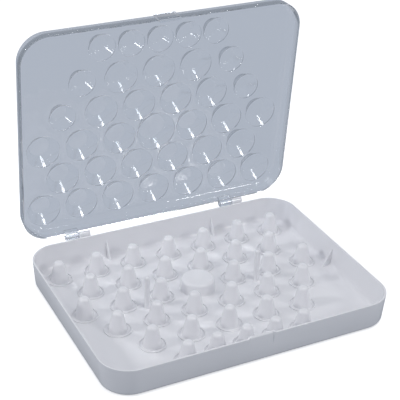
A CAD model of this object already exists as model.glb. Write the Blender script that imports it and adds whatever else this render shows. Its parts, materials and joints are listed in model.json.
"""A hinged storage case, lid open: a white tray with tapered pegs, a clear lid with a cup for each.

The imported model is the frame. The white moulding and the clear one are rebuilt here as fine meshes
with their small fillets, in metres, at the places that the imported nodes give. The other nodes of
the frame stay where they are and get a material and soft edges.
"""

import json
import math

import bmesh
import bpy
from mathutils import Matrix, Vector
from mathutils.geometry import delaunay_2d_cdt


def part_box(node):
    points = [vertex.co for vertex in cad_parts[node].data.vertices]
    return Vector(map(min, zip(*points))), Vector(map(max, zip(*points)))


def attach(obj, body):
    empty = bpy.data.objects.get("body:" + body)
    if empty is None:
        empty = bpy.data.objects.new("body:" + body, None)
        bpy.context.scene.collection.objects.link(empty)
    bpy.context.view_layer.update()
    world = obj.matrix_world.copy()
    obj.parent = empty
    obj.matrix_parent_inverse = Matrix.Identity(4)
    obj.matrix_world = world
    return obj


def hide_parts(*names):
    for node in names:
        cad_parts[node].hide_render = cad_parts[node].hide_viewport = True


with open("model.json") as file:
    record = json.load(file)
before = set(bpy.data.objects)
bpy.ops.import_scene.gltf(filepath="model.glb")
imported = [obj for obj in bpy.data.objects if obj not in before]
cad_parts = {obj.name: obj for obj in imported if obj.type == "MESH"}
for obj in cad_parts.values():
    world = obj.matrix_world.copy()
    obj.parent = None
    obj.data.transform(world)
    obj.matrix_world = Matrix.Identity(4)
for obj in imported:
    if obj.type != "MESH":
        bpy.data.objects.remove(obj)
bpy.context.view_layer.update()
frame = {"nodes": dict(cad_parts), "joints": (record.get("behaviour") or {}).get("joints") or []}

MM = 0.001

# ---- Sizes, as in the construction ----

tray_low, tray_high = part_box("tray_shell")
TRAY_L = tray_high.x - tray_low.x
TRAY_W = tray_high.y - tray_low.y
RIM_Z = tray_high.z
UNDER_Z = tray_low.z
CORNER_R = 29 * MM
WALL = 1.8 * MM
FLOOR_T = 1.6 * MM
FLOOR_Z = UNDER_Z + FLOOR_T
TRAY_LEAN = 2.2 * MM
UNDER_R = 4 * MM
INSIDE_R = 5 * MM
RIM_ROUND = 0.45 * MM

ROW_SIZES = [7, 6, 7, 6, 5, 5]
ROWS = range(len(ROW_SIZES))
BOSS_ROW = 2
FRONT_ROW = 5
PITCH_X = 39.4 * MM
FRONT_PITCH_X = 29.7 * MM
PITCH_Y = 33.5 * MM
BOSS_ROW_Y = 18.4 * MM

PEG_H = 20.8 * MM
PEG_FOOT_R = 9.2 * MM
PEG_TOP_R = 4.7 * MM
PEG_WALL = 1.5 * MM
PEG_ROUND = 3.3 * MM
FOOT_FILLET = 0.8 * MM
COLLAR_R = 12.5 * MM
COLLAR_W = 1.0 * MM
COLLAR_H = 1.1 * MM
COLLAR_ROUND = 0.42 * MM

BOSS_FOOT_R = 17.6 * MM
BOSS_TOP_R = 16 * MM
BOSS_H = 12 * MM
BOSS_WALL = 1.5 * MM
BOSS_ROUND = 2.8 * MM

LID_GAP = 0.3 * MM
LID_REST_GAP = 0.1 * MM
LID_DEPTH = 14 * MM
LID_WALL = 1.5 * MM
LID_PLATE = 1.6 * MM
LID_LEAN = 1.2 * MM
LID_EDGE_R = 5 * MM
LID_INSIDE_R = 3.4 * MM
LID_ROUND = 0.35 * MM
CUP_R, CUP_TAPER = 17 * MM, 7 * MM
SMALL_CUP_R, SMALL_CUP_TAPER = 13.5 * MM, 5.5 * MM
CENTRE_CUP_R, CENTRE_CUP_TAPER = 20.4 * MM, 6.5 * MM
CUP_DEPTH = 11.8 * MM
CUP_WALL = 0.9 * MM
CUP_FILLET = 0.7 * MM
CUP_ROUND = 1.6 * MM
# In these rows the cups further from the middle than this many pitches are small ones.
SMALL_CUPS_PAST = {3: 2, 4: 1.5, FRONT_ROW: -1}

RECESS_W = 23 * MM
RECESS_H = 13 * MM
RECESS_IN = 1 * MM
RECESS_LEAD = 1.2 * MM

# ---- Fineness of the meshes ----

TURN = 64
CORNER_STEPS = 24
FINE_ARC = 10
EDGE_ARC = 8
FLARE_ARC = 6
RIM_ARC = 4
SMOOTH_BELOW = 32
WELD = 1e-6
SLIVER = 1e-7
TINY = 1e-9
INSIDE_HOLE = 0.9995

# ---- Layout ----


def row_pitch(row):
    return FRONT_PITCH_X if row == FRONT_ROW else PITCH_X


def row_y(row):
    return BOSS_ROW_Y + (BOSS_ROW - row) * PITCH_Y


def places(row):
    """Centres of a row, counted in pitches from the middle."""
    n = ROW_SIZES[row]
    return [i - (n - 1) / 2 for i in range(n)]


def is_boss(row, place):
    return row == BOSS_ROW and place == 0


def lattice():
    """(row, place, x, y) of every peg and the boss, which are also the places of the cups."""
    return [
        (row, place, place * row_pitch(row), row_y(row)) for row in ROWS for place in places(row)
    ]


def cup_size(row, place):
    """Mouth radius of a cup at the plate's inner face, and how much narrower its far end is."""
    if is_boss(row, place):
        return CENTRE_CUP_R, CENTRE_CUP_TAPER
    if abs(place) > SMALL_CUPS_PAST.get(row, math.inf):
        return SMALL_CUP_R, SMALL_CUP_TAPER
    return CUP_R, CUP_TAPER


# ---- Outlines in section ----


def arc(cx, cy, r, start, end, steps):
    """Points of an arc, in degrees."""
    angles = [math.radians(start + (end - start) * i / steps) for i in range(steps + 1)]
    return [(cx + r * math.cos(a), cy + r * math.sin(a)) for a in angles]


def wall_section(r, h, lean, edge_r, wall, base, inside_r, rim_round):
    """Section of a drafted dish: from its floor up the inside, over the rim, down to the underside.

    The first number is the distance from the corner's centre, the second the height above the
    underside."""
    slope = math.degrees(math.atan(lean / h))
    cos_s, tan_s = math.cos(math.radians(slope)), math.tan(math.radians(slope))

    def face(z, inset):
        return r - (h - z) * tan_s - inset

    in_z = base + inside_r
    in_x = face(in_z, wall) - inside_r / cos_s
    rim_z = h - rim_round
    rim_in = face(rim_z, wall) + rim_round / cos_s
    rim_out = face(rim_z, 0) - rim_round / cos_s
    out_x = face(edge_r, 0) - edge_r / cos_s
    return (
        arc(in_x, in_z, inside_r, -90, -slope, FINE_ARC)
        + arc(rim_in, rim_z, rim_round, 180 - slope, 90, RIM_ARC)
        + arc(rim_out, rim_z, rim_round, 90, -slope, RIM_ARC)
        + arc(out_x, edge_r, edge_r, -slope, -90, FINE_ARC)
    )


def taper_section(r, h, lean, edge_r):
    """Section of a tapered form from its open end at height h to the axis at 0, edge rounded."""
    slope = math.degrees(math.atan(lean / h))
    edge_x = r - lean * (h - edge_r) / h - edge_r / math.cos(math.radians(slope))
    return [(r, h)] + arc(edge_x, edge_r, edge_r, -slope, -90, EDGE_ARC) + [(0, 0)]


def flare(section, radius):
    """Rounds the join of a taper section with the flat face at its open end, outside its wall."""
    (r, h), (next_r, next_h) = section[0], section[1]
    lean = math.atan2(r - next_r, h - next_h)
    centre = r + radius * (1 - math.sin(lean)) / math.cos(lean)
    return arc(centre, h - radius, radius, 90, 180 - math.degrees(lean), FLARE_ARC) + section[1:]


# ---- Mesh making ----


def circle(x, y, r):
    turns = [2 * math.pi * i / TURN for i in range(TURN)]
    return [(x + r * math.cos(a), y + r * math.sin(a)) for a in turns]


def rounded_outline(length, width, corner_r, r):
    """Outline whose corners have radius r about the centres of corners of radius corner_r."""
    cx, cy = length / 2 - corner_r, width / 2 - corner_r
    points = []
    for k, (sx, sy) in enumerate([(1, 1), (-1, 1), (-1, -1), (1, -1)]):
        for i in range(CORNER_STEPS + 1):
            a = math.pi / 2 * (k + i / CORNER_STEPS)
            points.append((sx * cx + r * math.cos(a), sy * cy + r * math.sin(a)))
    return points


class Skin:
    """Collects faces; points that coincide are welded when the object is made."""

    def __init__(self):
        self.points = []
        self.faces = []

    def add(self, points, faces):
        start = len(self.points)
        self.points += points
        self.faces += [[start + i for i in face] for face in faces]

    def loops(self, rings, closed_tip=None):
        """Quads between rings of equal length; closed_tip adds a fan from the last ring."""
        n = len(rings[0])
        points = [p for ring in rings for p in ring]
        faces = []
        for k in range(len(rings) - 1):
            for i in range(n):
                j = (i + 1) % n
                faces.append([k * n + i, k * n + j, (k + 1) * n + j, (k + 1) * n + i])
        if closed_tip is not None:
            last = (len(rings) - 1) * n
            points.append(closed_tip)
            faces += [[last + i, last + (i + 1) % n, len(points) - 1] for i in range(n)]
        self.add(points, faces)

    def turned(self, section, x, y, z_of):
        """Revolves a section about a vertical line; z_of maps its heights to z."""
        rings = [
            [(px, py, z_of(h)) for px, py in circle(x, y, r)] for r, h in section if r > TINY
        ]
        end_r, end_h = section[-1]
        self.loops(rings, (x, y, z_of(end_h)) if end_r <= TINY else None)

    def swept(self, section, length, width, corner_r, z_of):
        """Carries a section round a rectangle with rounded corners."""
        self.loops(
            [
                [(x, y, z_of(h)) for x, y in rounded_outline(length, width, corner_r, r)]
                for r, h in section
            ]
        )

    def plate(self, outline, holes, z):
        """A flat face with round holes, given as (x, y, radius)."""
        points = [Vector(p) for p in outline]
        edges = [(i, (i + 1) % len(outline)) for i in range(len(outline))]
        for hole in holes:
            start = len(points)
            points += [Vector(p) for p in circle(*hole)]
            edges += [(start + i, start + (i + 1) % TURN) for i in range(TURN)]
        made, _, faces, *_ = delaunay_2d_cdt(points, edges, [], 1, TINY)
        kept = []
        for face in faces:
            mx = sum(made[i].x for i in face) / len(face)
            my = sum(made[i].y for i in face) / len(face)
            if all((mx - x) ** 2 + (my - y) ** 2 > (r * INSIDE_HOLE) ** 2 for x, y, r in holes):
                kept.append(list(face))
        self.add([(p.x, p.y, z) for p in made], kept)

    def object(self, name, matrix=None):
        mesh = bpy.data.meshes.new(name)
        mesh.from_pydata(self.points, [], self.faces)
        bm = bmesh.new()
        bm.from_mesh(mesh)
        bmesh.ops.remove_doubles(bm, verts=bm.verts, dist=WELD)
        bmesh.ops.dissolve_degenerate(bm, edges=bm.edges, dist=SLIVER)
        bmesh.ops.recalc_face_normals(bm, faces=bm.faces)
        if matrix is not None:
            bm.transform(matrix)
        bm.to_mesh(mesh)
        bm.free()
        obj = bpy.data.objects.new(name, mesh)
        bpy.context.scene.collection.objects.link(obj)
        smooth(obj)
        return obj


def smooth(obj):
    for polygon in obj.data.polygons:
        polygon.use_smooth = True
    obj.data.set_sharp_from_angle(angle=math.radians(SMOOTH_BELOW))


def prism(name, near, far):
    """A solid between two outlines of equal length."""
    n = len(near)
    skin = Skin()
    faces = [list(range(n)), list(range(n, 2 * n))]
    faces += [[i, (i + 1) % n, n + (i + 1) % n, n + i] for i in range(n)]
    skin.add([tuple(p) for p in near] + [tuple(p) for p in far], faces)
    return skin.object(name)


def combine(obj, other, operation):
    """Joins or cuts obj by other and removes other."""
    modifier = obj.modifiers.new("combine", "BOOLEAN")
    modifier.operation = operation
    modifier.solver = "EXACT"
    modifier.object = other
    bpy.context.view_layer.update()
    graph = bpy.context.evaluated_depsgraph_get()
    made = bpy.data.meshes.new_from_object(obj.evaluated_get(graph))
    obj.modifiers.remove(modifier)
    old = obj.data
    obj.data = made
    bpy.data.meshes.remove(old)
    bpy.data.objects.remove(other)
    smooth(obj)


# ---- Shader nodes ----

FLOW_SPAN = (0.3, 0.7)


def node_material(name):
    """A material with no nodes yet, its nodes and its links."""
    material = bpy.data.materials.new(name)
    material.use_nodes = True
    material.node_tree.nodes.clear()
    return material, material.node_tree.nodes, material.node_tree.links


def coloured(nodes, kind, colour, strength=None):
    node = nodes.new(kind)
    node.inputs["Color"].default_value = (*colour, 1)
    if strength is not None:
        node.inputs["Strength"].default_value = strength
    return node


def mixed(nodes, links, factor, usual, special):
    """The usual shader where the factor is 0, the special one where it is 1."""
    mix = nodes.new("ShaderNodeMixShader")
    links.new(factor, mix.inputs[0])
    links.new(usual.outputs[0], mix.inputs[1])
    links.new(special.outputs[0], mix.inputs[2])
    return mix


def object_noise(nodes, links, place, scale, detail):
    noise = nodes.new("ShaderNodeTexNoise")
    noise.inputs["Scale"].default_value = scale
    noise.inputs["Detail"].default_value = detail
    links.new(place.outputs["Object"], noise.inputs["Vector"])
    return noise.outputs["Fac"]


def vary(nodes, links, shader, flow, tones, roughness):
    """Lets the flow marks of the moulding vary a shader's colour and roughness."""
    low, high = FLOW_SPAN
    tone = nodes.new("ShaderNodeValToRGB")
    for element, position, colour in zip(tone.color_ramp.elements, FLOW_SPAN, tones):
        element.position = position
        element.color = (*colour, 1)
    links.new(flow, tone.inputs["Fac"])
    links.new(tone.outputs["Color"], shader.inputs["Base Color"])
    gloss = nodes.new("ShaderNodeMapRange")
    gloss.inputs["From Min"].default_value = low
    gloss.inputs["From Max"].default_value = high
    gloss.inputs["To Min"].default_value = roughness[0]
    gloss.inputs["To Max"].default_value = roughness[1]
    links.new(flow, gloss.inputs["Value"])
    links.new(gloss.outputs["Result"], shader.inputs["Roughness"])


def bump(nodes, links, shader, height, strength, distance):
    node = nodes.new("ShaderNodeBump")
    node.inputs["Strength"].default_value = strength
    node.inputs["Distance"].default_value = distance
    links.new(height, node.inputs["Height"])
    links.new(node.outputs["Normal"], shader.inputs["Normal"])


# ---- Materials ----

WHITE_TONES = [(0.840, 0.838, 0.862), (0.870, 0.868, 0.890)]
WHITE_ROUGHNESS = (0.09, 0.13)
WHITE_IOR = 1.59
CLEAR_TONES = [(0.965, 0.975, 0.985), (0.975, 0.983, 0.99)]
CLEAR_ROUGHNESS = (0.02, 0.05)
CLEAR_IOR = 1.55
LAMPS_THROUGH = (0.90, 0.92, 0.95)
STRAIGHT_THROUGH = (0.97, 0.98, 0.99)
# Light that has bent or bounced more often than this goes straight through clear plastic.
DEEPEST_BEND = 4.5


def moulded_white():
    """White polystyrene: satin gloss, faint flow marks in tone and gloss, very fine unevenness."""
    material, nodes, links = node_material("white_moulding")
    shader = nodes.new("ShaderNodeBsdfPrincipled")
    shader.inputs["IOR"].default_value = WHITE_IOR
    place = nodes.new("ShaderNodeTexCoord")
    flow = object_noise(nodes, links, place, scale=18, detail=3)
    vary(nodes, links, shader, flow, WHITE_TONES, WHITE_ROUGHNESS)
    fine = object_noise(nodes, links, place, scale=900, detail=2)
    bump(nodes, links, shader, fine, strength=0.03, distance=0.2 * MM)
    links.new(shader.outputs[0], nodes.new("ShaderNodeOutputMaterial").inputs[0])
    return material


def moulded_clear():
    """Clear polystyrene with a faint cool tint, through which the lamps shine."""
    material, nodes, links = node_material("clear_moulding")
    shader = nodes.new("ShaderNodeBsdfPrincipled")
    shader.inputs["Transmission Weight"].default_value = 1.0
    shader.inputs["IOR"].default_value = CLEAR_IOR
    place = nodes.new("ShaderNodeTexCoord")
    flow = object_noise(nodes, links, place, scale=14, detail=2)
    vary(nodes, links, shader, flow, CLEAR_TONES, CLEAR_ROUGHNESS)
    bump(nodes, links, shader, flow, strength=0.05, distance=0.5 * MM)
    path = nodes.new("ShaderNodeLightPath")
    deep = nodes.new("ShaderNodeMath")
    deep.operation = "GREATER_THAN"
    deep.inputs[1].default_value = DEEPEST_BEND
    links.new(path.outputs["Ray Depth"], deep.inputs[0])
    straight = coloured(nodes, "ShaderNodeBsdfTransparent", STRAIGHT_THROUGH)
    lamp_light = coloured(nodes, "ShaderNodeBsdfTransparent", LAMPS_THROUGH)
    body = mixed(nodes, links, deep.outputs[0], shader, straight)
    whole = mixed(nodes, links, path.outputs["Is Shadow Ray"], body, lamp_light)
    links.new(whole.outputs[0], nodes.new("ShaderNodeOutputMaterial").inputs[0])
    return material


WHITE = moulded_white()
CLEAR = moulded_clear()


def give_material(obj, material):
    obj.data.materials.clear()
    obj.data.materials.append(material)


def finish_piece(obj, body, material, slot_name, *replaced):
    give_material(obj, material)
    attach(obj, body)
    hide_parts(*replaced)


def dress_carried(names, material):
    """Gives nodes of the frame that stay visible their material."""
    for name in names:
        node = frame["nodes"][name]
        give_material(node, material)
        smooth(node)


# ---- Tray ----


def collar_section(bore):
    """Section of the low ring round a peg, from its outer fillet to the bore under the peg."""
    outer, inner, e = COLLAR_R + COLLAR_W / 2, COLLAR_R - COLLAR_W / 2, COLLAR_ROUND
    return (
        arc(outer + e, e, e, -90, -180, RIM_ARC)
        + arc(outer - e, COLLAR_H - e, e, 0, 90, RIM_ARC)
        + arc(inner + e, COLLAR_H - e, e, 90, 180, RIM_ARC)
        + arc(inner - e, e, e, 0, -90, RIM_ARC)
        + [(bore, 0)]
    )


def make_tray():
    """Floor, wall and collars in one skin, with the holes of the cored pegs, and the recess cut."""
    section = wall_section(
        CORNER_R, RIM_Z - UNDER_Z, TRAY_LEAN, UNDER_R, WALL, FLOOR_T, INSIDE_R, RIM_ROUND
    )
    skin = Skin()
    skin.swept(section, TRAY_L, TRAY_W, CORNER_R, lambda h: UNDER_Z + h)
    inner = rounded_outline(TRAY_L, TRAY_W, CORNER_R, section[0][0])
    outer = rounded_outline(TRAY_L, TRAY_W, CORNER_R, section[-1][0])
    floor_holes, under_holes = [], []
    for row, place, x, y in lattice():
        if is_boss(row, place):
            bore = BOSS_FOOT_R - BOSS_WALL
            floor_holes.append((x, y, bore))
        else:
            bore = PEG_FOOT_R - PEG_WALL
            floor_holes.append((x, y, COLLAR_R + COLLAR_W / 2 + COLLAR_ROUND))
            skin.turned(collar_section(bore), x, y, lambda h: FLOOR_Z + h)
        skin.turned([(bore, FLOOR_T), (bore, 0)], x, y, lambda h: UNDER_Z + h)
        under_holes.append((x, y, bore))
    skin.plate(inner, floor_holes, FLOOR_Z)
    skin.plate(outer, under_holes, UNDER_Z)
    tray = skin.object("tray_moulding")
    combine(tray, recess_backing(), "UNION")
    combine(tray, recess_cutter(), "DIFFERENCE")
    combine(tray, recess_lead(), "DIFFERENCE")
    finish_piece(tray, "tray", WHITE, "tray_plastic", "tray_shell", "peg_collars")


def recess_foot():
    """Front face of the recess's back at its foot: y and z."""
    return tray_low.y + RECESS_H * TRAY_LEAN / (RIM_Z - UNDER_Z), RIM_Z - RECESS_H


def bar_along_x(name, half, outline):
    """A prism that spans half to either side of the middle, on an outline of (y, z)."""
    return prism(name, [(-half, *p) for p in outline], [(half, *p) for p in outline])


def recess_backing():
    """Keeps the wall's thickness behind the recess."""
    y, z = recess_foot()
    below = RECESS_IN / RECESS_H * WALL
    outline = [
        (y + WALL / 2, z - WALL),
        (y + WALL - below, z - WALL),
        (y + RECESS_IN + WALL, RIM_Z),
        (tray_low.y + WALL / 2, RIM_Z),
    ]
    return bar_along_x("backing", RECESS_W / 2 + WALL, outline)


def recess_cutter():
    """The recess's room: its back leans in towards the rim and its sides open by 45 degrees."""
    y, z = recess_foot()
    past = 2 * MM
    deep, high = WALL + past, RECESS_H + past
    half = RECESS_W / 2
    section = [(-half, 0), (half, 0), (half + deep, -deep), (-half - deep, -deep)]
    lean_in = Matrix.Rotation(-math.atan(RECESS_IN / RECESS_H), 4, "X")
    turn = Matrix.Translation((0, y, z)) @ lean_in
    return prism(
        "cutter",
        [turn @ Vector((px, py, 0)) for px, py in section],
        [turn @ Vector((px, py, high)) for px, py in section],
    )


def recess_lead():
    """The chamfer on the rim that leads the lid's tab in."""
    rim_y = recess_foot()[0] + RECESS_IN
    past = 1 * MM
    outline = [
        (rim_y - past, RIM_Z - RECESS_LEAD - past),
        (rim_y + RECESS_LEAD + past, RIM_Z + past),
        (rim_y - past, RIM_Z + past),
    ]
    return bar_along_x("lead", RECESS_W / 2, outline)


def cored_form(skin, x, y, foot_r, top_r, height, wall, outer_round, inner_round):
    """A tapered form on the floor: cored from beneath, fillet round its foot, rounded top."""
    lean = foot_r - top_r
    outside = flare(taper_section(foot_r, height, lean, outer_round), FOOT_FILLET)
    core_h = height - wall
    inside = taper_section(foot_r - wall, core_h, lean * core_h / height, inner_round)
    skin.turned(outside, x, y, lambda h: FLOOR_Z + height - h)
    skin.turned(inside, x, y, lambda h: FLOOR_Z + core_h - h)
    skin.turned([outside[0], inside[0]], x, y, lambda h: FLOOR_Z)


def make_pegs(row):
    skin = Skin()
    peg = (PEG_FOOT_R, PEG_TOP_R, PEG_H, PEG_WALL, PEG_ROUND, PEG_ROUND / 2)
    for place in places(row):
        if not is_boss(row, place):
            cored_form(skin, place * row_pitch(row), row_y(row), *peg)
    name = f"pegs_row_{row + 1}"
    finish_piece(skin.object(f"{name}_form"), "tray", WHITE, "tray_plastic", name)


def make_boss():
    """The low drum under the centre cup."""
    skin = Skin()
    inner_round = BOSS_ROUND - BOSS_WALL / 2
    drum = (BOSS_FOOT_R, BOSS_TOP_R, BOSS_H, BOSS_WALL, BOSS_ROUND, inner_round)
    cored_form(skin, 0, row_y(BOSS_ROW), *drum)
    finish_piece(skin.object("center_boss_form"), "tray", WHITE, "tray_plastic", "center_boss")


# ---- Lid ----

joint = frame["joints"][0]
hinge = Vector(joint["pos_m"])
OPEN_ANGLE = max(joint["range_deg"])
OPENED = (
    Matrix.Translation(hinge)
    @ Matrix.Rotation(-math.radians(OPEN_ANGLE), 4, Vector(joint["axis"]))
    @ Matrix.Translation(-hinge)
)
PLATE_Z = RIM_Z + LID_REST_GAP + LID_DEPTH
LID_TOP = PLATE_Z + LID_PLATE


def cup_sections(mouth, taper):
    """Sections of a cup's inside and outside, from the plate's faces to the cup's far end."""
    slope = taper / CUP_DEPTH
    inside = flare(taper_section(mouth, CUP_DEPTH, taper, CUP_ROUND - CUP_WALL / 2), CUP_FILLET)
    out_h = CUP_DEPTH + CUP_WALL - LID_PLATE
    foot_r = mouth - slope * LID_PLATE + CUP_WALL
    outside = flare(taper_section(foot_r, out_h, slope * out_h, CUP_ROUND), CUP_FILLET)
    return inside, outside


def make_lid():
    """Plate, wall and cups of the clear moulding in one skin, drawn closed and turned open."""
    length, width = TRAY_L - 2 * LID_GAP, TRAY_W - 2 * LID_GAP
    corner = CORNER_R - LID_GAP
    height = LID_DEPTH + LID_PLATE
    section = wall_section(
        corner, height, LID_LEAN, LID_EDGE_R, LID_WALL, LID_PLATE, LID_INSIDE_R, LID_ROUND
    )
    skin = Skin()
    skin.swept(section, length, width, corner, lambda h: LID_TOP - h)
    inner = rounded_outline(length, width, corner, section[0][0])
    outer = rounded_outline(length, width, corner, section[-1][0])
    inner_holes, outer_holes = [], []
    for row, place, x, y in lattice():
        inside, outside = cup_sections(*cup_size(row, place))
        skin.turned(inside, x, y, lambda h: PLATE_Z + CUP_DEPTH - h)
        skin.turned(outside, x, y, lambda h: PLATE_Z + CUP_DEPTH + CUP_WALL - h)
        inner_holes.append((x, y, inside[0][0]))
        outer_holes.append((x, y, outside[0][0]))
    skin.plate(inner, inner_holes, PLATE_Z)
    skin.plate(outer, outer_holes, LID_TOP)
    lid = skin.object("lid_moulding", OPENED)
    nodes = ["lid_shell", "center_cup"] + [f"cups_row_{row + 1}" for row in ROWS]
    finish_piece(lid, "lid", CLEAR, "lid_plastic", *nodes)


# ---- Camera ----

CAMERA_TARGET = Vector((-0.1, 19.3, 99.9)) * MM
CAMERA_AZIMUTH = -27.35
CAMERA_ELEVATION = 29.24
CAMERA_ROLL = 1.94
CAMERA_DISTANCE = 1059.1 * MM
CAMERA_LENS = 101.65
SENSOR_WIDTH = 36
CLIP_NEAR, CLIP_FAR = 0.05, 20


def camera_axes():
    """Right, up and back of the camera."""
    az, el, roll = (math.radians(v) for v in (CAMERA_AZIMUTH, CAMERA_ELEVATION, CAMERA_ROLL))
    back = Vector((math.sin(az) * math.cos(el), -math.cos(az) * math.cos(el), math.sin(el)))
    right = Vector((math.cos(az), math.sin(az), 0))
    up = back.cross(right)
    right_rolled = math.cos(roll) * right + math.sin(roll) * up
    up_rolled = -math.sin(roll) * right + math.cos(roll) * up
    return right_rolled, up_rolled, back


def make_camera():
    data = bpy.data.cameras.new("camera")
    data.lens = CAMERA_LENS
    data.sensor_width = SENSOR_WIDTH
    data.clip_start = CLIP_NEAR
    data.clip_end = CLIP_FAR
    camera = bpy.data.objects.new("camera", data)
    axes = camera_axes()
    place = Matrix.Translation(CAMERA_TARGET + axes[2] * CAMERA_DISTANCE)
    camera.matrix_world = place @ Matrix(axes).transposed().to_4x4()
    bpy.context.scene.collection.objects.link(camera)
    bpy.context.scene.camera = camera


# ---- Stage and light ----

BACKDROP = (0.44, 0.48, 0.555)
SOFT_LIGHT = (0.92, 0.96, 1.05)
SOFT_STRENGTH = 0.42
FLOOR_REACH = 3.0
PAPER = (0.41, 0.44, 0.48)
SEEN_PAPER = (0.9, 0.9, 0.9)
SEEN_GLOW = 0.55

LAMP_AIM = Vector((0, 0, 0.05))
LAMP_DISTANCE = 1.5
# Name, bearing from the front towards the right, height angle, sides and power of each lamp.
LAMPS = [
    ("left_box", -98, 30, (0.2, 0.2), 4.8),
    ("right_box", 33, 29, (0.2, 0.2), 2.9),
    ("overhead", 24, 74.5, (0.34, 0.5), 4.6),
    ("rear_box", -140, 45, (0.5, 0.5), 1.0),
]


def show_by_ray(nodes, links, output, usual, beyond, seen):
    """Shows seen to the camera, beyond through clear plastic, and usual to every other ray."""
    path = nodes.new("ShaderNodeLightPath")
    mix = mixed(nodes, links, path.outputs["Is Transmission Ray"], usual, beyond)
    mix = mixed(nodes, links, path.outputs["Is Camera Ray"], mix, seen)
    links.new(mix.outputs[0], nodes.new(output).inputs[0])


def make_world():
    """Soft light all round; white to the camera, the studio's pale blue backdrop beyond the lid."""
    world = bpy.data.worlds.new("studio")
    bpy.context.scene.world = world
    world.use_nodes = True
    nodes, links = world.node_tree.nodes, world.node_tree.links
    nodes.clear()
    soft = coloured(nodes, "ShaderNodeBackground", SOFT_LIGHT, SOFT_STRENGTH)
    backdrop = coloured(nodes, "ShaderNodeBackground", BACKDROP, 1.0)
    white = coloured(nodes, "ShaderNodeBackground", (1, 1, 1), 1.0)
    show_by_ray(nodes, links, "ShaderNodeOutputWorld", soft, backdrop, white)


def make_floor():
    """Pale paper that takes the shadow; the backdrop's colour where it is seen through the lid."""
    mesh = bpy.data.meshes.new("floor")
    s = FLOOR_REACH
    mesh.from_pydata([(-s, -s, 0), (s, -s, 0), (s, s, 0), (-s, s, 0)], [], [[0, 1, 2, 3]])
    floor = bpy.data.objects.new("floor", mesh)
    bpy.context.scene.collection.objects.link(floor)
    material, nodes, links = node_material("pale_floor")
    paper = coloured(nodes, "ShaderNodeBsdfDiffuse", PAPER)
    backdrop = coloured(nodes, "ShaderNodeEmission", BACKDROP, 1.0)
    seen_paper = coloured(nodes, "ShaderNodeBsdfDiffuse", SEEN_PAPER)
    glow = coloured(nodes, "ShaderNodeEmission", (1, 1, 1), SEEN_GLOW)
    seen = nodes.new("ShaderNodeAddShader")
    links.new(seen_paper.outputs[0], seen.inputs[0])
    links.new(glow.outputs[0], seen.inputs[1])
    show_by_ray(nodes, links, "ShaderNodeOutputMaterial", paper, backdrop, seen)
    mesh.materials.append(material)


def make_lamps():
    for name, bearing, height, sides, power in LAMPS:
        b, h = math.radians(bearing), math.radians(height)
        away = Vector((math.sin(b) * math.cos(h), -math.cos(b) * math.cos(h), math.sin(h)))
        data = bpy.data.lights.new(name, "AREA")
        data.shape = "RECTANGLE"
        data.size, data.size_y = sides
        data.energy = power
        lamp = bpy.data.objects.new(name, data)
        place = LAMP_AIM + LAMP_DISTANCE * away
        lamp.location = place
        lamp.rotation_euler = (LAMP_AIM - place).to_track_quat("-Z", "Y").to_euler()
        bpy.context.scene.collection.objects.link(lamp)


# ---- The scene ----

make_camera()
make_world()
make_floor()
make_lamps()

make_tray()
for row_number in ROWS:
    make_pegs(row_number)
make_boss()
make_lid()
dress_carried(
    ["wall_gussets", "corner_feet", "hinge_barrels", "hinge_pins", "left_post", "right_post"],
    WHITE,
)
dress_carried(["lid_barrels", "catch_tab"], CLEAR)

bpy.context.scene.view_settings.view_transform = "Standard"
